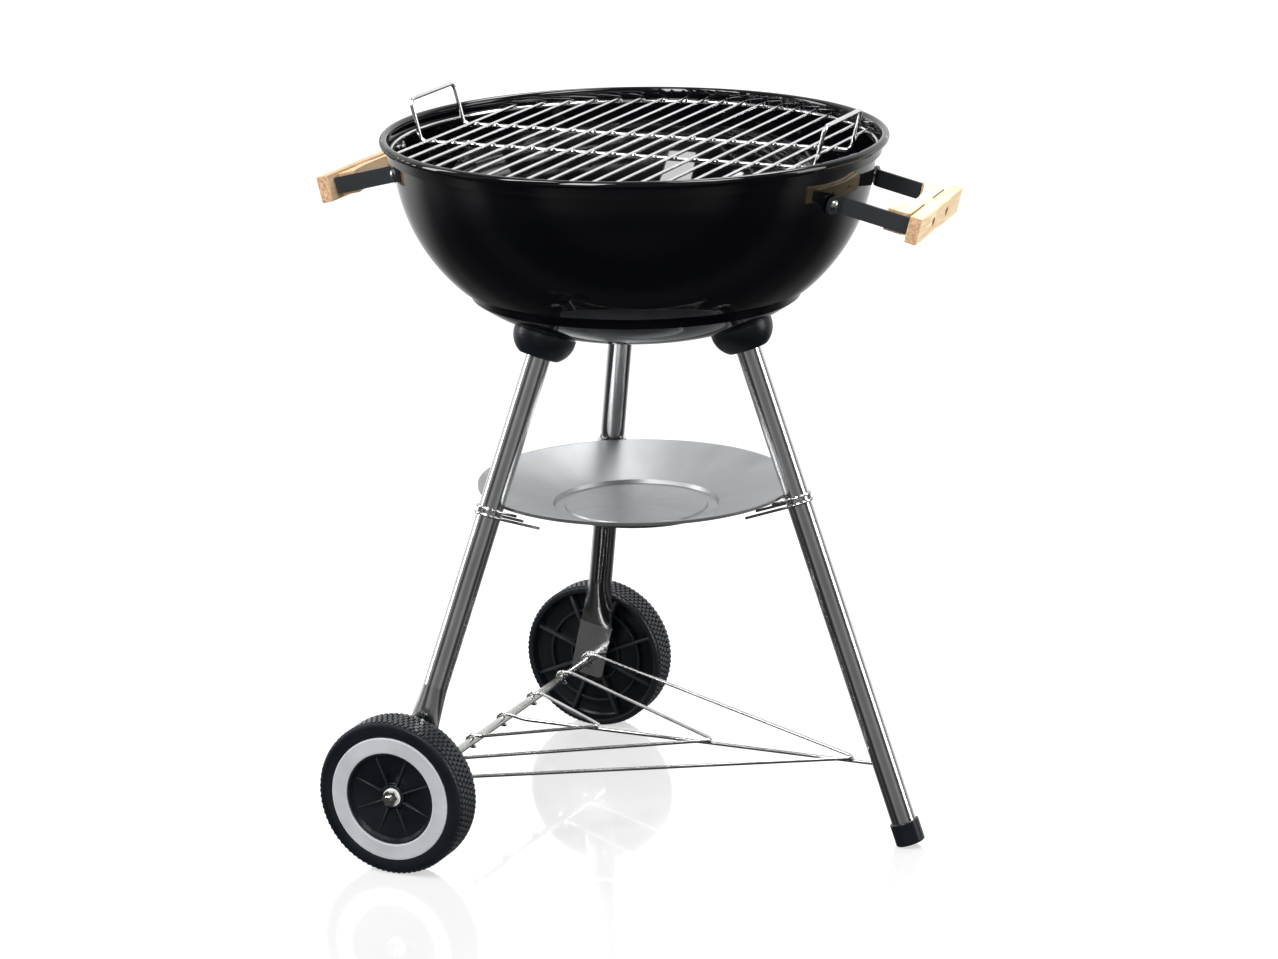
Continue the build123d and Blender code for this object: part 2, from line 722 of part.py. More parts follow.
for name, frame in handle_frames.items():
    with BuildPart() as straps:
        for hand in (1, -1):
            with BuildSketch(frame.offset(-strap_height / 2)):
                with BuildLine():
                    FilletPolyline(
                        (ear_end[0], hand * ear_end[1]),
                        (ear_corner[0], hand * ear_corner[1]),
                        (tab_x, hand * strap_half_pitch),
                        (tab_x, hand * tab_end_y),
                        radius=bend_radius,
                    )
                trace(line_width=strap_thick)
            extrude(amount=strap_height)
        short_edges = straps.edges().filter_by(lambda edge: abs(edge.length - strap_thick) < fit)
        fillet([e for e in short_edges if abs(frame.to_local_coords(e.center()).Y) > ear_hole_y], ear_round)
        for hole in ear_frames:
            with BuildSketch(hole):
                Circle(screw_radius + fit)
            extrude(amount=6, both=True, mode=Mode.SUBTRACT)
        with BuildSketch(Plane(origin=frame.origin, x_dir=frame.y_dir, z_dir=frame.x_dir)):
            with Locations((-wood_screw_y, 0), (wood_screw_y, 0)):
                Circle(wood_screw_radius + fit)
        extrude(amount=strap_reach + strap_thick, mode=Mode.SUBTRACT)
    save(straps.part, f"handle_straps_{name}")

    with BuildPart() as board:
        with BuildSketch(frame.offset(-board_height / 2)):
            with Locations((wood_x + board_thick / 2, 0)):
                Rectangle(board_thick, board_length)
        extrude(amount=board_height)
        fillet(board.edges(), 1.6)
        outer = Plane(
            origin=frame.from_local_coords(Vector(wood_x + board_thick, 0, 0)),
            x_dir=frame.y_dir,
            z_dir=-frame.x_dir,
        )
        with BuildSketch(outer):
            with Locations((-wood_screw_y, 0), (wood_screw_y, 0)):
                Circle(countersink + gap)
        extrude(amount=sink_depth, mode=Mode.SUBTRACT)
        with BuildSketch(outer):
            with Locations((-wood_screw_y, 0), (wood_screw_y, 0)):
                Circle(wood_screw_radius + fit)
        extrude(amount=board_thick + 1, mode=Mode.SUBTRACT)
    save(board.part, f"handle_board_{name}")

    with BuildPart() as block:
        with BuildSketch(frame.offset(-block_height / 2)):
            with BuildLine():
                Polyline(
                    (block_start, -block_half),
                    (block_end - bend_radius, -block_half),
                    (block_end, -block_half + bend_radius),
                    (block_end, -tab_end_y + gap),
                    (wood_x - 2 * fit, -tab_end_y + gap),
                    (wood_x - 2 * fit, tab_end_y - gap),
                    (block_end, tab_end_y - gap),
                    (block_end, block_half - bend_radius),
                    (block_end - bend_radius, block_half),
                    (block_start, block_half),
                )
                ThreePointArc(
                    (block_start, block_half),
                    (block_start + scallop, 0),
                    (block_start, -block_half),
                )
            make_face()
        extrude(amount=block_height)
        with BuildSketch(Plane(origin=frame.origin, x_dir=frame.y_dir, z_dir=frame.x_dir)):
            with Locations((-wood_screw_y, 0), (wood_screw_y, 0)):
                Circle(wood_screw_radius + fit)
        extrude(amount=strap_reach + 1, mode=Mode.SUBTRACT)
    save(block.part, f"handle_block_{name}")

with BuildPart() as grip_screws:
    for frame in handle_frames.values():
        for hand in (1, -1):
            sink_floor = Vector(wood_x + board_thick - sink_depth, hand * wood_screw_y, 0)
            seat = Plane(
                origin=frame.from_local_coords(sink_floor),
                x_dir=frame.y_dir,
                z_dir=-frame.x_dir,
            )
            with BuildSketch(seat.offset(-fit)):
                Circle(countersink)
            extrude(amount=-2.0, taper=30)
            with BuildSketch(seat.offset(-2.0)):
                Circle(wood_screw_radius)
            extrude(amount=22.0)
save(grip_screws.part, "grip_screws")

ear_seat = strap_thick / 2 + fit
ear_head = 5.6
cross_length = 5.0            # cross recess in a screw's head
cross_width = 1.1
wall_reach = 5.4              # the nuts inside the bowl start this far behind an ear's middle plane

with BuildPart() as ear_screws:
    for frame in ear_frames:
        with BuildSketch(lathe_plane(frame)):
            with BuildLine():
                Polyline(
                    (screw_radius, -wall_reach - 4.5),
                    (0, -wall_reach - 4.5),
                    (0, ear_seat + 3.0),
                )
                ThreePointArc((0, ear_seat + 3.0), (4.0, ear_seat + 2.1), (ear_head, ear_seat))
                Polyline((ear_head, ear_seat), (screw_radius, ear_seat), (screw_radius, -wall_reach - 4.5))
            make_face()
        revolve(axis=Axis(frame.origin, frame.z_dir))
        with BuildSketch(frame.offset(ear_seat + 1.2)):
            Rectangle(cross_length, cross_width)
            Rectangle(cross_width, cross_length)
        extrude(amount=3, mode=Mode.SUBTRACT)
save(ear_screws.part, "ear_screws")

with BuildPart() as ear_nuts:
    for frame in ear_frames:
        with BuildSketch(lathe_plane(frame)):
            with BuildLine():
                inner = screw_radius + fit
                Polyline(
                    (inner, -wall_reach),
                    (inner, -wall_reach - 4.6),
                    (0, -wall_reach - 4.6),
                    (0, -wall_reach - 7.5),
                )
                ThreePointArc((0, -wall_reach - 7.5), (4.2, -wall_reach - 5.6), (5.6, -wall_reach - 1.5))
                Polyline((5.6, -wall_reach - 1.5), (5.6, -wall_reach), (inner, -wall_reach))
            make_face()
        revolve(axis=Axis(frame.origin, frame.z_dir))
save(ear_nuts.part, "ear_nuts")
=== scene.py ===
import bpy
import bmesh
import json
import random
from math import cos, pi, radians, sin, sqrt
from mathutils import Matrix, Vector


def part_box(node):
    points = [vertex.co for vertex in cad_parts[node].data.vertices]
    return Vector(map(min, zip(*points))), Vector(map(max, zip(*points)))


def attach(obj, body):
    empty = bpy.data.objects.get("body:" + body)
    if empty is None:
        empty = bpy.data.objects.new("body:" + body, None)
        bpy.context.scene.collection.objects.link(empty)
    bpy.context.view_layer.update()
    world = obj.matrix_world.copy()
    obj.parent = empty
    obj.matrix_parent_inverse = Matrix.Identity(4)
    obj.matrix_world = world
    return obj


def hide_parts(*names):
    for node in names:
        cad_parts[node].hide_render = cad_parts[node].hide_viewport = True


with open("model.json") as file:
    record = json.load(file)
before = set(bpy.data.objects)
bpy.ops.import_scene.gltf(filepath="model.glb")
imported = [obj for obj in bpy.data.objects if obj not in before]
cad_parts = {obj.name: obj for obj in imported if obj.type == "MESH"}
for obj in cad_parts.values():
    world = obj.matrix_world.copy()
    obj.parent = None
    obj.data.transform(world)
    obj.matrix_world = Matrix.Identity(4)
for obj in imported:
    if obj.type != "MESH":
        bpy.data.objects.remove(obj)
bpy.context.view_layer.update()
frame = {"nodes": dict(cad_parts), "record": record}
random.seed(7)


# ---------------------------------------------------------------- shader helpers
class Shader:
    """A Principled material whose colour, roughness and bump come from textures in object space."""

    def __init__(self, name, metallic=0.0, specular=0.5, coat=0.0, coat_roughness=0.05):
        self.material = bpy.data.materials.new(name)
        self.material.use_nodes = True
        self.tree = self.material.node_tree
        self.bsdf = self.tree.nodes["Principled BSDF"]
        self.bsdf.inputs["Metallic"].default_value = metallic
        self.bsdf.inputs["Specular IOR Level"].default_value = specular
        self.bsdf.inputs["Coat Weight"].default_value = coat
        self.bsdf.inputs["Coat Roughness"].default_value = coat_roughness
        self.height = None
        self.coords = self.tree.nodes.new("ShaderNodeTexCoord").outputs["Object"]

    def node(self, kind, **inputs):
        """A node with its sockets set or linked; _ stands for a space in a socket's name."""
        made = self.tree.nodes.new(kind)
        for key, value in inputs.items():
            self.feed(made.inputs[key.replace("_", " ")], value)
        return made

    def feed(self, socket, value):
        if isinstance(value, bpy.types.NodeSocket):
            self.tree.links.new(value, socket)
        else:
            socket.default_value = value

    def mapped(self, scale=(1, 1, 1), turn=(0, 0, 0), move=(0, 0, 0)):
        made = self.tree.nodes.new("ShaderNodeMapping")
        self.tree.links.new(self.coords, made.inputs["Vector"])
        made.inputs["Scale"].default_value = scale
        made.inputs["Rotation"].default_value = turn
        made.inputs["Location"].default_value = move
        return made.outputs["Vector"]

    def noise(self, scale, detail=4.0, rough=0.55, vector=None, warp=0.0):
        made = self.node("ShaderNodeTexNoise", Scale=scale, Detail=detail, Roughness=rough, Distortion=warp)
        self.tree.links.new(vector or self.coords, made.inputs["Vector"])
        return made.outputs["Fac"]

    def ramp(self, value, stops, colours=None):
        """Colours by the value's place among the stops, black to white if none are given."""
        made = self.tree.nodes.new("ShaderNodeValToRGB")
        elements = made.color_ramp.elements
        colours = colours or [(0, 0, 0, 1), (1, 1, 1, 1)]
        for i, (place, colour) in enumerate(zip(stops, colours)):
            element = elements[i] if i < 2 else elements.new(place)
            element.position = place
            element.color = colour if len(colour) == 4 else (*colour, 1)
        self.tree.links.new(value, made.inputs["Fac"])
        return made.outputs["Color"]

    def blend(self, factor, a, b):
        made = self.tree.nodes.new("ShaderNodeMix")
        made.data_type = "RGBA"
        self.feed(made.inputs["Factor"], factor)
        for slot, value in (("A", a), ("B", b)):
            socket = [s for s in made.inputs if s.name == slot and s.type == "RGBA"][0]
            self.feed(socket, value if isinstance(value, bpy.types.NodeSocket) else (*value[:3], 1))
        return [s for s in made.outputs if s.type == "RGBA"][0]

    def span(self, value, low, high, start=0.3, end=0.7):
        """Maps start..end of the value to low..high."""
        made = self.node("ShaderNodeMapRange", From_Min=start, From_Max=end, To_Min=low, To_Max=high)
        self.tree.links.new(value, made.inputs["Value"])
        return made.outputs["Result"]

    def colour(self, value):
        self.feed(self.bsdf.inputs["Base Color"], value)

    def rough(self, value):
        self.feed(self.bsdf.inputs["Roughness"], value)

    def bump(self, value, distance, strength=1.0):
        made = self.node("ShaderNodeBump", Strength=strength, Distance=distance)
        self.tree.links.new(value, made.inputs["Height"])
        if self.height:
            self.tree.links.new(self.height, made.inputs["Normal"])
        self.height = made.outputs["Normal"]
        self.tree.links.new(self.height, self.bsdf.inputs["Normal"])

    def edge_wear(self):
        """Bright along sharp outer edges."""
        pointy = self.tree.nodes.new("ShaderNodeNewGeometry").outputs["Pointiness"]
        return self.ramp(pointy, (0.52, 0.60))


# ---------------------------------------------------------------- materials, one per slot
def enamel():
    """Deep black glass enamel, very slightly wavy, with a little dust."""
    s = Shader("black_enamel", specular=0.42)
    cloud = s.noise(9, detail=3)
    dust = s.ramp(s.noise(2600, detail=2), (0.72, 0.78))
    base = s.blend(cloud, (0.0008, 0.0009, 0.0014), (0.0020, 0.0022, 0.0030))
    s.colour(s.blend(s.span(dust, 0.0, 0.08, 0, 1), base, (0.05, 0.05, 0.055)))
    s.rough(s.span(s.noise(40, detail=5), 0.03, 0.06))
    s.bump(s.noise(14, detail=1), 0.00025, 0.4)
    return s.material


def metal(name, dark, light, low, high, stretch=(1, 1, 1), grain=300, depth=0.00001, flecks=0.0):
    """Bare metal between two tones and two roughnesses, with drawn lines and, if wanted, flecks."""
    s = Shader(name, metallic=1.0)
    lines = s.noise(grain, detail=6, vector=s.mapped(stretch))
    cloud = s.noise(18, detail=4)
    tone = s.blend(s.span(cloud, 0, 1), dark, light)
    s.colour(s.blend(s.span(lines, 0.0, 0.35), tone, [c * 0.72 for c in light]))
    s.rough(s.span(s.blend(0.5, cloud, lines), low, high))
    s.bump(lines, depth)
    if flecks:
        s.bump(s.ramp(s.noise(grain * 4, detail=2), (0.62, 0.7)), flecks, 0.5)
    return s.material


def plate_metal():
    """Spun sheet: fine rings about the axle of the lathe and faint streaks outward."""
    s = Shader("spun_sheet", metallic=1.0)
    low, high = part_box("ash_plate")
    centre = (low + high) / 2
    spot = s.mapped(move=(-centre.x, -centre.y, 0))
    split = s.node("ShaderNodeSeparateXYZ")
    s.tree.links.new(spot, split.inputs[0])
    x, y = split.outputs["X"], split.outputs["Y"]
    angle = s.node("ShaderNodeMath")
    angle.operation = "ARCTAN2"
    s.tree.links.new(y, angle.inputs[0])
    s.tree.links.new(x, angle.inputs[1])
    flat = s.node("ShaderNodeCombineXYZ", X=x, Y=y)
    length = s.node("ShaderNodeVectorMath")
    length.operation = "LENGTH"
    s.tree.links.new(flat.outputs[0], length.inputs[0])
    polar = s.node("ShaderNodeCombineXYZ", X=angle.outputs[0], Y=length.outputs["Value"])
    rings = s.node("ShaderNodeMapping", Scale=(0.3, 900, 1))
    s.tree.links.new(polar.outputs[0], rings.inputs["Vector"])
    streaks = s.node("ShaderNodeMapping", Scale=(1.4, 5.0, 1))
    s.tree.links.new(polar.outputs[0], streaks.inputs["Vector"])
    ring = s.noise(1.0, detail=3, vector=rings.outputs[0])
    streak = s.noise(2.0, detail=3, vector=streaks.outputs[0])
    s.colour(s.blend(s.span(streak, 0, 1), (0.33, 0.34, 0.35), (0.41, 0.42, 0.43)))
    s.rough(s.span(s.blend(0.5, ring, streak), 0.36, 0.46))
    s.bump(ring, 0.00002, 0.5)
    return s.material


def moulded(name, tone, low, high, grain=700, coat=0.0):
    """Plastic or paint of one tone with soft clouds, fine pits and paler edges."""
    s = Shader(name, specular=0.34, coat=coat, coat_roughness=0.15)
    cloud = s.noise(25, detail=5)
    pits = s.noise(grain, detail=3)
    light = [c * 1.6 + 0.001 for c in tone]
    base = s.blend(s.span(cloud, 0, 1), tone, light)
    s.colour(s.blend(s.edge_wear(), base, [c * 2.2 + 0.01 for c in tone]))
    s.rough(s.span(s.blend(0.5, cloud, pits), low, high))
    s.bump(pits, 0.00006, 0.35)
    return s.material


def wood():
    """Pale softwood: long growth lines, soft stains, darker sawn ends, and painted shade that turns it
    browner towards the left.
    """
    s = Shader("pine", specular=0.35)
    lean = s.mapped(scale=(26, 2.6, 60), turn=(0.05, 0.12, 0.03))
    lines = s.noise(3.2, detail=6, rough=0.62, vector=lean, warp=0.8)
    fibres = s.noise(40, detail=4, vector=s.mapped(scale=(30, 1, 60)))
    stain = s.noise(22, detail=4)
    pale = s.ramp(
        lines,
        (0.32, 0.47, 0.56, 0.68),
        ((0.83, 0.70, 0.49), (0.80, 0.65, 0.43), (0.66, 0.46, 0.25), (0.86, 0.75, 0.56)),
    )
    worn = s.blend(s.span(stain, 0.0, 0.35, 0.5, 0.75), pale, (0.66, 0.46, 0.26))
    fine = s.blend(s.span(fibres, 0.0, 0.22), worn, (0.62, 0.44, 0.26))
    # Painted shade: towards negative x the wood is blended up to 0.75 of the way towards a darker brown,
    # standing in for the shade over the left handle.
    where = s.node("ShaderNodeSeparateXYZ")
    s.tree.links.new(s.coords, where.inputs[0])
    left = s.span(where.outputs["X"], 0.75, 0.0, -0.2, 0.2)
    fine = s.blend(left, fine, s.blend(0.7, fine, (0.30, 0.15, 0.075)))
    normal = s.tree.nodes.new("ShaderNodeNewGeometry").outputs["Normal"]
    axis = s.node("ShaderNodeSeparateXYZ")
    s.tree.links.new(normal, axis.inputs[0])
    ends = s.node("ShaderNodeMath")
    ends.operation = "ABSOLUTE"
    s.tree.links.new(axis.outputs["Y"], ends.inputs[0])
    end_tone = s.blend(s.span(s.noise(420, detail=4), 0, 1), (0.20, 0.09, 0.04), (0.52, 0.34, 0.20))
    s.colour(s.blend(s.span(ends.outputs[0], 0.0, 0.9, 0.5, 0.85), fine, end_tone))
    s.rough(s.span(lines, 0.5, 0.72))
    s.bump(fibres, 0.00022, 0.7)
    s.bump(lines, 0.00025, 0.5)
    s.bump(s.noise(500, detail=4), 0.0001, 0.5)
    return s.material


materials = {
    "enamel": enamel(),
    "damper": metal("rolled_sheet", (0.50, 0.51, 0.52), (0.72, 0.73, 0.74), 0.28, 0.45, (1, 14, 1)),
    "fastener": metal("zinc_steel", (0.50, 0.50, 0.48), (0.80, 0.80, 0.77), 0.16, 0.34, flecks=0.00003),
    "black_plastic": moulded("black_plastic", (0.0020, 0.0032, 0.0052), 0.28, 0.42),
    "steel_tube": metal(
        "polished_tube", (0.66, 0.66, 0.66), (0.80, 0.80, 0.80), 0.12, 0.20, (8, 8, 0.4), 260, 0.000004
    ),
    "pale_washer": moulded("pale_washer", (0.30, 0.30, 0.30), 0.35, 0.5),
    "wheel_plastic": moulded("wheel_plastic", (0.0020, 0.0032, 0.0050), 0.24, 0.38),
    "pale_ring": moulded("pale_ring", (0.178, 0.183, 0.192), 0.36, 0.48),
    "wire": metal("drawn_wire", (0.55, 0.55, 0.55), (0.80, 0.80, 0.80), 0.14, 0.30, depth=0.000006),
    "plate": plate_metal(),
    "chrome_wire": metal("plated_wire", (0.72, 0.72, 0.73), (0.90, 0.90, 0.90), 0.06, 0.16, depth=0.000004),
    "grate_steel": metal("plain_steel", (0.22, 0.22, 0.22), (0.42, 0.42, 0.41), 0.28, 0.5, flecks=0.00004),
    "strap": moulded("painted_strap", (0.0030, 0.0042, 0.0052), 0.30, 0.44, grain=1100, coat=0.1),
    "wood": wood(),
    "dark_screw": metal("dark_screw", (0.08, 0.03, 0.02), (0.24, 0.10, 0.07), 0.35, 0.6, flecks=0.00005),
}

slot_of = {part["node"]: part["material_slot"] for part in frame["record"]["subparts"]}
for node, piece in frame["nodes"].items():
    piece.data.materials.clear()
    piece.data.materials.append(materials[slot_of[node]])


# ---------------------------------------------------------------- mesh helpers
def finish_piece(mesh, name, node, smooth=True):
    """A bmesh becomes an object that takes its material, slot and body from a CAD node."""
    data = bpy.data.meshes.new(name)
    bmesh.ops.recalc_face_normals(mesh, faces=mesh.faces)
    mesh.to_mesh(data)
    mesh.free()
    piece = bpy.data.objects.new(name, data)
    bpy.context.scene.collection.objects.link(piece)
    data.polygons.foreach_set("use_smooth", [smooth] * len(data.polygons))
    data.materials.append(materials[slot_of[node]])
    bodies = frame["record"]["behaviour"]["bodies"]
    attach(piece, next(body for body, nodes in bodies.items() if node in nodes))
    return piece


def bevelled(piece, width, angle):
    """One narrow chamfer along every edge that is sharper than the angle in degrees."""
    bevel = piece.modifiers.new("bevel", "BEVEL")
    bevel.width = width
    bevel.segments = 1
    bevel.limit_method = "ANGLE"
    bevel.angle_limit = radians(angle)
    bevel.harden_normals = False


def add_box(mesh, size, place):
    """A box of that size whose own frame is the matrix place."""
    made = bmesh.ops.create_cube(mesh, size=1.0)
    bmesh.ops.scale(mesh, vec=size, verts=made["verts"])
    bmesh.ops.transform(mesh, matrix=place, verts=made["verts"])


def add_blob(mesh, size, place):
    """A squashed drop of weld metal, a little uneven."""
    made = bmesh.ops.create_uvsphere(mesh, u_segments=10, v_segments=6, radius=1.0)
    for vert in made["verts"]:
        vert.co *= 1 + random.uniform(-0.08, 0.08)
    bmesh.ops.scale(mesh, vec=size, verts=made["verts"])
    bmesh.ops.transform(mesh, matrix=place, verts=made["verts"])


def add_lathe(mesh, profile, segments, place):
    """Turns (radius, height) points about the z axis of the matrix place into a closed skin."""
    rings = []
    for radius, height in profile:
        ring = []
        for i in range(segments):
            turn = 2 * pi * i / segments
            ring.append(mesh.verts.new(place @ Vector((radius * cos(turn), radius * sin(turn), height))))
        rings.append(ring)
    for inner, outer in zip(rings, rings[1:] + rings[:1]):
        for i in range(segments):
            j = (i + 1) % segments
            mesh.faces.new((inner[i], inner[j], outer[j], outer[i]))


# ---------------------------------------------------------------- wheels with moulded tread
# metres; distances across the tyre are from the wheel's inner face
tread_rows = 5
tread_blocks = 84
tread_depth = 0.0013
tread_start = 0.0035
tread_end = 0.0320
block_height = 0.0024
block_share = 0.66            # of the way from block to block round the tyre
row_share = 0.80              # of the way from row to row across it
tyre_segments = 144
shoulder_edges = (0.0026, 0.0329)
shoulder_size = (0.0030, 0.0022, 0.0020)
shoulder_sink = 0.0022

hub_overhang = 0.003
rib_count = 8
inner_rib_size = (0.0560, 0.0030, 0.0100)
inner_rib_place = (0.0390, 0, 0.0080)
outer_rib_size = (0.0290, 0.0013, 0.0065)
outer_rib_place = (0.0262, 0, 0.0272)
ring_ribs = (0.0475, 0.0250)
ring_rib_width = 0.0022
ring_rib_span = (0.0060, 0.0130)
ring_rib_segments = 72
smooth_area = 2e-5            # larger faces are shaded smooth, tread blocks flat

# Half section of the wheel: (radius, distance from its inner face), once round from the bore
wheel_profile = (
    (0.00405, -0.0030), (0.0105, -0.0030), (0.0110, -0.0026), (0.0118, 0.0085), (0.0130, 0.0095),
    (0.0300, 0.0110), (0.0580, 0.0125), (0.0640, 0.0115), (0.0660, 0.0095), (0.0675, 0.0020),
    (0.0682, 0.0006), (0.0695, 0.0), (0.0715, 0.0), (0.0730, 0.0006), ("ground", 0.0022),
    ("ground", 0.0332), (0.0732, 0.0344), (0.0715, 0.0352), (0.0695, 0.0355), (0.0615, 0.0353),
    (0.0604, 0.0349), (0.06005, 0.0340), (0.06005, 0.0320), (0.04495, 0.0320), (0.04495, 0.0340),
    (0.0446, 0.0346), (0.0438, 0.0348), (0.0430, 0.0345), (0.0425, 0.0335), (0.0405, 0.0305),
    (0.0330, 0.0290), (0.0220, 0.0272), (0.0140, 0.0254), (0.0124, 0.0256), (0.0114, 0.0286),
    (0.0108, 0.0290), (0.00405, 0.0290),
)


def wheel(name, side):
    """Tyre, web, ribs and hub as moulded, with rows of staggered tread blocks."""
    low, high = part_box(f"wheel_{name}")
    centre = (low + high) / 2
    radius = (high.z - low.z) / 2
    inner_face = (high.y if side < 0 else low.y) + side * hub_overhang
    # local z runs outward along the axle from the wheel's inner face
    place = Matrix(((1, 0, 0, centre.x), (0, 0, side, inner_face), (0, -side, 0, centre.z), (0, 0, 0, 1)))
    ground = radius - tread_depth
    mesh = bmesh.new()
    section = [(ground if r == "ground" else r, z) for r, z in wheel_profile]
    add_lathe(mesh, section, tyre_segments, place)
    for i in range(rib_count):
        turn = Matrix.Rotation(2 * pi * (i + 0.5) / rib_count, 4, "Z")
        add_box(mesh, inner_rib_size, place @ turn @ Matrix.Translation(inner_rib_place))
        add_box(mesh, outer_rib_size, place @ turn @ Matrix.Translation(outer_rib_place))
    for ring in ring_ribs:
        start, end = ring_rib_span
        outside = ring + ring_rib_width
        section = ((ring, start), (outside, start), (outside, end), (ring, end))
        add_lathe(mesh, section, ring_rib_segments, place)
    row_width = (tread_end - tread_start) / tread_rows
    for row in range(tread_rows):
        middle = tread_start + row_width * (row + 0.5)
        for i in range(tread_blocks):
            turn = Matrix.Rotation(2 * pi * (i + 0.5 * (row % 2)) / tread_blocks, 4, "Z")
            size = (block_height, 2 * pi * radius / tread_blocks * block_share, row_width * row_share)
            add_box(mesh, size, place @ turn @ Matrix.Translation((radius - block_height / 2, 0, middle)))
    for edge in shoulder_edges:
        for i in range(tread_blocks):
            turn = Matrix.Rotation(2 * pi * (i + 0.25) / tread_blocks, 4, "Z")
            spot = Matrix.Translation((radius - shoulder_sink, 0, edge))
            add_box(mesh, shoulder_size, place @ turn @ spot)
    piece = finish_piece(mesh, f"wheel_body_{name}", f"wheel_{name}", smooth=False)
    for polygon in piece.data.polygons:
        polygon.use_smooth = polygon.area > smooth_area
    bevelled(piece, width=0.0003, angle=50)
    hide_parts(f"wheel_{name}")


wheel("front", -1)
wheel("rear", 1)


# ---------------------------------------------------------------- welds of the cooking grid
grid_wire = 0.002             # radius of the ring and the support loop
bar_wire = 0.0016
bar_count = 19
ring_weld = (0.0022, 0.0026, 0.0018)
ring_weld_lift = 0.0004       # above the middle between the crossing wires
cross_weld = (0.0017, 0.0019, 0.0013)
cross_weld_lift = 0.0003


def grid_welds():
    """A drop of weld at both ends of each bar and where it crosses the support loop."""
    low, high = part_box("grid_ring")
    ring_radius = (high.x - low.x) / 2 - grid_wire
    ring_z = (low.z + high.z) / 2
    bar_low, bar_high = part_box("grid_bars")
    pitch = (bar_high.x - bar_low.x - 2 * bar_wire) / (bar_count - 1)
    weld_z = (ring_z + (bar_low.z + bar_high.z) / 2) / 2
    rod_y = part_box("grid_loop")[1].y - grid_wire
    mesh = bmesh.new()
    for i in range(bar_count):
        x = (i - (bar_count - 1) / 2) * pitch
        reach = sqrt(ring_radius**2 - x**2)
        for side in (-1, 1):
            lean = Matrix.Rotation(random.uniform(-0.2, 0.2), 4, "Z")
            joint = Matrix.Translation((x, side * reach, weld_z + ring_weld_lift))
            add_blob(mesh, ring_weld, joint @ lean)
            cross = Matrix.Translation((x, side * rod_y, weld_z + cross_weld_lift))
            add_blob(mesh, cross_weld, cross @ lean)
    finish_piece(mesh, "grid_welds", "grid_ring")


grid_welds()


# ---------------------------------------------------------------- welds of the bottom rack
rack_wire = 0.00175
rack_weld = (0.0034, 0.0028, 0.0022)
rack_weld_inset = 0.0004      # from the middle of the wire at the tip of the V


def rack_welds():
    """A drop of weld where the tip of each V lies on the spine."""
    mesh = bmesh.new()
    for name in ("inner", "middle", "outer"):
        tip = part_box(f"rack_vee_{name}")[1]
        place = Matrix.Translation((tip.x - rack_wire - rack_weld_inset, 0, tip.z - 2 * rack_wire))
        add_blob(mesh, rack_weld, place)
    finish_piece(mesh, "rack_welds", "rack_spine")


rack_welds()


# ---------------------------------------------------------------- floor, lights and camera
view_turn = radians(23.55)    # the camera stands this far round from the -Y side towards +X
view_rise = radians(15.37)
view_roll = radians(-0.8)
view_distance = 4.2
view_target = (0, 0, 0.3355)
sensor_width = 36
focal_length = 123.1

floor_size = 40
floor_glow = 0.84
floor_mirror = 0.30           # share of a sharp reflection in the floor
soft_room = 0.42              # brightness of the room for diffuse light
room_lean = 0.12              # the bands lean: higher up counts as further behind
ground_shade = 0.12           # share of the bands' brightness that is left far below the horizon
shade_span = (-0.55, -0.15)   # heights between which that share grows to one
light_height = 0.45           # the lights circle round this height

# Brightness of the room in reflections: (place, level), from the camera's side, 0, to behind the
# object, 1. The bands draw light and dark lines on the tubes.
room_bands = (
    (0.0, 0.16), (0.10, 0.30), (0.20, 0.05), (0.32, 0.08), (0.42, 0.42),
    (0.56, 0.16), (0.70, 0.30), (0.84, 1.0), (1.0, 1.0),
)


def pale_floor():
    """A plain white floor with a faint mirror image."""
    bpy.ops.mesh.primitive_plane_add(size=floor_size)
    floor = bpy.context.object
    floor.name = "floor"
    s = Shader("pale_floor", specular=0.4)
    s.colour(s.blend(s.noise(3), (0.29, 0.29, 0.29), (0.31, 0.31, 0.31)))
    s.rough(s.span(s.noise(14), 0.10, 0.13))
    s.bsdf.inputs["Emission Color"].default_value = (1, 1, 1, 1)
    s.bsdf.inputs["Emission Strength"].default_value = floor_glow
    mirror = s.node("ShaderNodeBsdfGlossy", Color=(1, 1, 1, 1), Roughness=0.05)
    both = s.node("ShaderNodeMixShader", Fac=floor_mirror)
    s.tree.links.new(s.bsdf.outputs[0], both.inputs[1])
    s.tree.links.new(mirror.outputs[0], both.inputs[2])
    s.tree.links.new(both.outputs[0], s.tree.nodes["Material Output"].inputs["Surface"])
    floor.data.materials.append(s.material)
    floor.visible_glossy = False      # reflections on the grill show the room instead


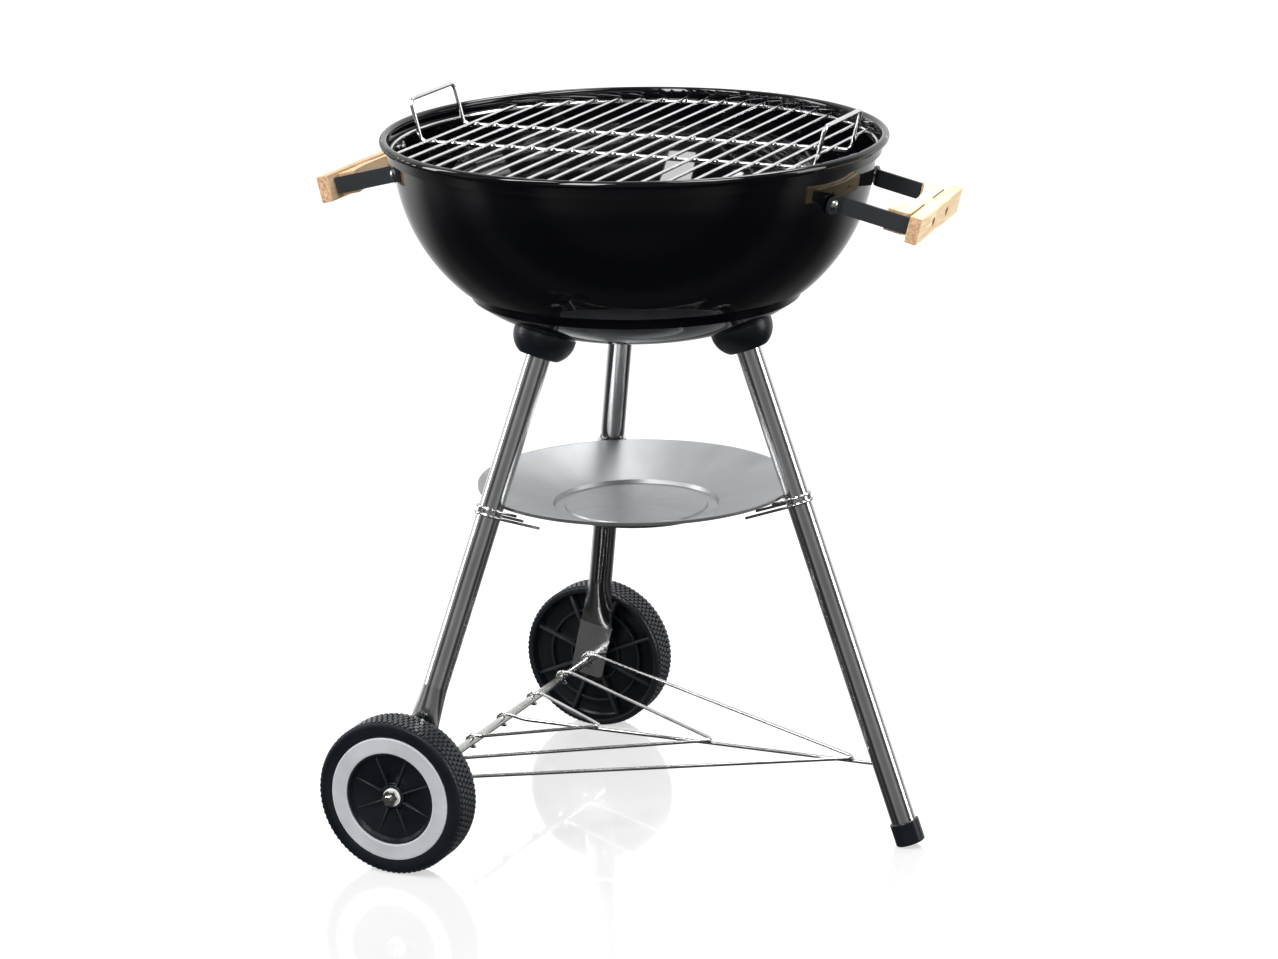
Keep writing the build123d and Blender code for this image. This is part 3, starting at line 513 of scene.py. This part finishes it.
def room():
    """Camera rays see white, diffuse rays a soft grey room, glossy rays the bands of a darker room."""
    world = bpy.data.worlds.new("studio")
    bpy.context.scene.world = world
    world.use_nodes = True
    tree = world.node_tree
    back = tree.nodes["Background"]
    back.inputs["Color"].default_value = (1, 1, 1, 1)
    rays = tree.nodes.new("ShaderNodeLightPath")
    toward = tree.nodes.new("ShaderNodeTexCoord")
    facing = tree.nodes.new("ShaderNodeVectorMath")
    facing.operation = "DOT_PRODUCT"
    tree.links.new(toward.outputs["Generated"], facing.inputs[0])
    facing.inputs[1].default_value = (-sin(view_turn), cos(view_turn), room_lean)
    place = tree.nodes.new("ShaderNodeMapRange")
    tree.links.new(facing.outputs["Value"], place.inputs["Value"])
    place.inputs["From Min"].default_value = -1
    bands = tree.nodes.new("ShaderNodeValToRGB")
    bands.color_ramp.interpolation = "EASE"
    elements = bands.color_ramp.elements
    for i, (spot, level) in enumerate(room_bands):
        element = elements[i] if i < 2 else elements.new(spot)
        element.position = spot
        element.color = (level, level, level, 1)
    tree.links.new(place.outputs["Result"], bands.inputs["Fac"])
    # Below the horizon the room is darker, so the bowl's overhanging wall stays black.
    height = tree.nodes.new("ShaderNodeSeparateXYZ")
    tree.links.new(toward.outputs["Generated"], height.inputs[0])
    low = tree.nodes.new("ShaderNodeMapRange")
    low.interpolation_type = "SMOOTHSTEP"
    tree.links.new(height.outputs["Z"], low.inputs["Value"])
    low.inputs["From Min"].default_value, low.inputs["From Max"].default_value = shade_span
    low.inputs["To Min"].default_value = ground_shade
    shaded = tree.nodes.new("ShaderNodeMath")
    shaded.operation = "MULTIPLY"
    tree.links.new(bands.outputs["Color"], shaded.inputs[0])
    tree.links.new(low.outputs["Result"], shaded.inputs[1])
    glossy = tree.nodes.new("ShaderNodeMix")
    tree.links.new(rays.outputs["Is Glossy Ray"], glossy.inputs["Factor"])
    glossy.inputs["A"].default_value = soft_room
    tree.links.new(shaded.outputs["Value"], glossy.inputs["B"])
    seen = tree.nodes.new("ShaderNodeMix")
    tree.links.new(rays.outputs["Is Camera Ray"], seen.inputs["Factor"])
    tree.links.new(glossy.outputs["Result"], seen.inputs["A"])
    seen.inputs["B"].default_value = 1.0
    tree.links.new(seen.outputs["Result"], back.inputs["Strength"])
    bpy.context.scene.view_settings.view_transform = "Standard"


def around(turn, rise, distance):
    """A place seen from the grill, turned from the camera's side: positive is to the camera's right."""
    angle = view_turn + radians(turn)
    flat = distance * cos(radians(rise))
    return (flat * sin(angle), -flat * cos(angle), light_height + distance * sin(radians(rise)))


def softbox(name, place, target, size, power):
    """A rectangular lamp of that size in metres, aimed at the target."""
    light = bpy.data.lights.new(name, "AREA")
    light.shape = "RECTANGLE"
    light.size, light.size_y = size
    light.energy = power
    lamp = bpy.data.objects.new(name, light)
    bpy.context.scene.collection.objects.link(lamp)
    lamp.location = place
    lamp.rotation_euler = (Vector(target) - Vector(place)).to_track_quat("-Z", "Y").to_euler()


def camera():
    """The photograph's view: a long lens, a little above the rim, rolled by under a degree."""
    back = Vector((sin(view_turn) * cos(view_rise), -cos(view_turn) * cos(view_rise), sin(view_rise)))
    right = Vector((cos(view_turn), sin(view_turn), 0))
    up = back.cross(right)
    rolled_right = right * cos(view_roll) + up * sin(view_roll)
    rolled_up = up * cos(view_roll) - right * sin(view_roll)
    lens = bpy.data.cameras.new("camera")
    lens.sensor_width = sensor_width
    lens.lens = focal_length
    lens.clip_end = 60
    eye = bpy.data.objects.new("camera", lens)
    bpy.context.scene.collection.objects.link(eye)
    place = Vector(view_target) + back * view_distance
    axes = Matrix((rolled_right, rolled_up, back)).transposed()
    eye.matrix_world = Matrix.Translation(place) @ axes.to_4x4()
    bpy.context.scene.camera = eye


pale_floor()
room()
softbox("key", around(-26, 44, 3.3), (0, 0, 0.5), (0.8, 2.2), 95)
softbox("right", around(82, 16, 3.0), (0, 0, 0.4), (0.9, 2.0), 30)
softbox("left", around(-100, 20, 3.0), (0, 0, 0.5), (0.5, 2.0), 34)
softbox("top", around(150, 58, 3.0), (0, 0, 0.6), (1.4, 0.6), 40)
softbox("rim_left", around(-62, 50, 2.6), (0, 0, 0.6), (0.22, 1.6), 30)
softbox("rim_right", around(48, 60, 2.8), (0, 0, 0.6), (0.6, 1.5), 42)
camera()
